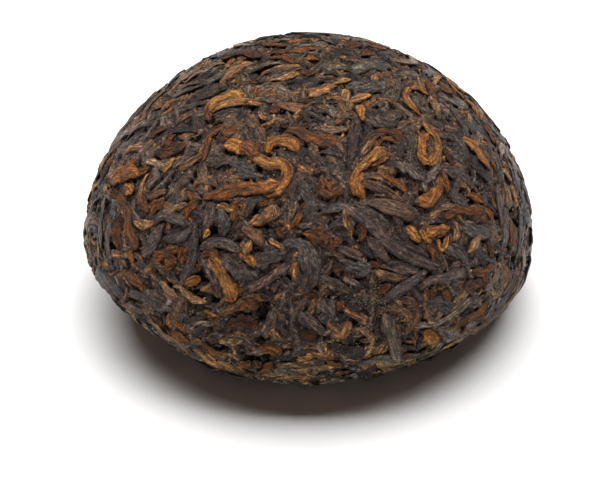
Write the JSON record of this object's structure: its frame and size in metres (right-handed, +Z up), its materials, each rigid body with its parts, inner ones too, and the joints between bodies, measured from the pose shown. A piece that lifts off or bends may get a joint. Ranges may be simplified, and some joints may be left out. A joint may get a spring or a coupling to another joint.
{
  "type": "pressed tea cake",
  "caption": "Dome-shaped cake of pressed dark tea leaves with golden tips, hollowed underneath like a thick-walled bowl and broken apart to brew.",
  "frame": {"origin": "on the table, under the middle of the dome", "axes": "+Z up through the top of the dome; the picture looks along +Y and down, with +X to its right"},
  "size_m": [0.0823, 0.0828, 0.0478],
  "materials": {
    "tea_leaf": "matte"
  },
  "bodies": {
    "root": {"tuocha": "tea_leaf"}
  },
  "joints": []
}
